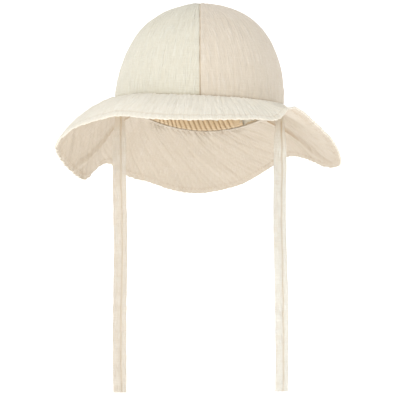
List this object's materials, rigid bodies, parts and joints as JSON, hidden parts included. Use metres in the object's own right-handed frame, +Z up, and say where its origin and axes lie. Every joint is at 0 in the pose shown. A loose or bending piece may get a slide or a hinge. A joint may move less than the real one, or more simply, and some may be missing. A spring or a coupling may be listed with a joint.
{
  "type": "baby sun hat",
  "caption": "Soft double-gauze sun hat for a baby: domed panelled crown, floppy brim that widens into a neck flap, ruched elastic nape and long flat chin ties.",
  "frame": {"origin": "middle of the head opening, at the height where the crown's wall starts to curve in", "axes": "+Z up to the crown's apex, the front of the hat faces -Y, +X is the wearer's left"},
  "size_m": [0.2574, 0.2653, 0.3461],
  "materials": {
    "crown_gauze": "cream cotton double gauze, fine radial creases",
    "brim_gauze": "cream cotton double gauze, fine crinkle ribs from crown to hem",
    "under_gauze": "inner layer of cream double gauze, a little darker in the shade",
    "lining_gauze": "soft cotton gauze lining",
    "cotton_tape": "woven cotton tape",
    "elastic": "flat braided elastic",
    "thread": "cotton sewing thread",
    "tie_gauze": "folded gauze tape, pressed flat"
  },
  "bodies": {
    "hat": {"crown_front_left": "crown_gauze", "crown_front_right": "crown_gauze", "crown_back_left": "crown_gauze", "crown_back_right": "crown_gauze", "lining_front_left": "lining_gauze", "lining_front_right": "lining_gauze", "lining_back_left": "lining_gauze", "lining_back_right": "lining_gauze", "seam_tape": "cotton_tape", "elastic_casing": "lining_gauze", "elastic_band": "elastic", "elastic_tacks": "thread", "brim_upper_sides": "brim_gauze", "brim_under_sides": "under_gauze", "flap_outer_sides": "brim_gauze", "flap_inner_sides": "under_gauze"},
    "front_brim": {"brim_upper_peak": "brim_gauze", "brim_under_peak": "under_gauze"},
    "neck_flap": {"flap_outer_tail": "brim_gauze", "flap_inner_tail": "under_gauze"},
    "tie_right_top": {"tie_right_root": "tie_gauze"},
    "tie_right_free": {"tie_right": "tie_gauze"},
    "tie_left_top": {"tie_left_root": "tie_gauze"},
    "tie_left_free": {"tie_left": "tie_gauze"}
  },
  "joints": [
    {"name": "front_brim_turn_up", "type": "hinge", "parent": "hat", "child": "front_brim", "pos_m": [0, -0.095, -0.009], "axis": [-1, 0, 0], "range_deg": [-10, 105], "stiffness_Nm_per_rad": 0.03},
    {"name": "neck_flap_turn_up", "type": "hinge", "parent": "hat", "child": "neck_flap", "pos_m": [0, 0.095, -0.0373], "axis": [1, 0, 0], "range_deg": [-12, 120], "stiffness_Nm_per_rad": 0.03},
    {"name": "tie_right_swing", "type": "hinge", "parent": "hat", "child": "tie_right_top", "pos_m": [-0.0715, -0.0035, -0.00936], "axis": [0, -1, 0], "range_deg": [-30, 70]},
    {"name": "tie_right_fold", "type": "hinge", "parent": "tie_right_top", "child": "tie_right_free", "pos_m": [-0.0715, -0.0035, -0.02316], "axis": [-1, 0, 0], "range_deg": [-25, 65]},
    {"name": "tie_left_swing", "type": "hinge", "parent": "hat", "child": "tie_left_top", "pos_m": [0.0715, 0.0035, -0.01564], "axis": [0, -1, 0], "range_deg": [-70, 30]},
    {"name": "tie_left_fold", "type": "hinge", "parent": "tie_left_top", "child": "tie_left_free", "pos_m": [0.0715, 0.0035, -0.02944], "axis": [-1, 0, 0], "range_deg": [-25, 65]}
  ]
}
